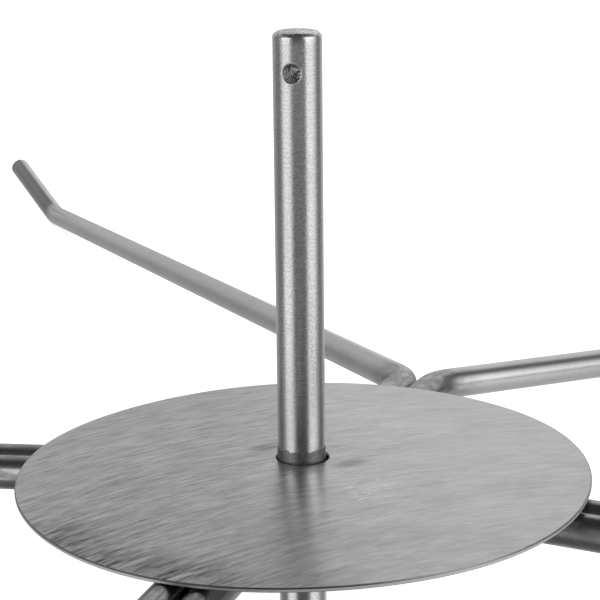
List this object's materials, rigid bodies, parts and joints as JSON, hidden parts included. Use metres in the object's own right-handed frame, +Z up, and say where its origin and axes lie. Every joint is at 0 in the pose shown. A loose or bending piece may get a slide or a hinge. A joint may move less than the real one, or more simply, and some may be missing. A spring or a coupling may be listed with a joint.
{
  "type": "ham holder stand",
  "caption": "Low welded steel stand for hams: an upright post with a locking hole on splayed bent-rod legs with upturned tips, and a loose domed cover plate round the post.",
  "frame": {"origin": "on the post's axis at floor level, at the middle of the post's lower end", "axes": "+Z up along the post, +X to the right and +Y to the back as the stand is seen from the front; the post's locking hole faces the front, turned 14.5 degrees to the left"},
  "size_m": [1.2385, 1.1714, 0.1758],
  "materials": {
    "post_steel": "turned and polished stainless bar",
    "rod_steel": "satin drawn stainless rod",
    "plate_steel": "line-brushed stainless sheet",
    "weld_steel": "wire-brushed weld metal"
  },
  "bodies": {
    "stand": {"post": "post_steel", "leg_rod_back_left": "rod_steel", "leg_rod_back_right": "rod_steel", "leg_rod_front_left": "rod_steel", "leg_rod_front_right": "rod_steel", "hub_weld": "weld_steel", "pair_welds": "weld_steel"},
    "plate": {"cover_plate": "plate_steel"}
  },
  "joints": [
    {"name": "plate_lift", "type": "slide", "parent": "stand", "child": "plate", "axis": [0, 0, 1], "range_m": [0, 0.125]}
  ]
}
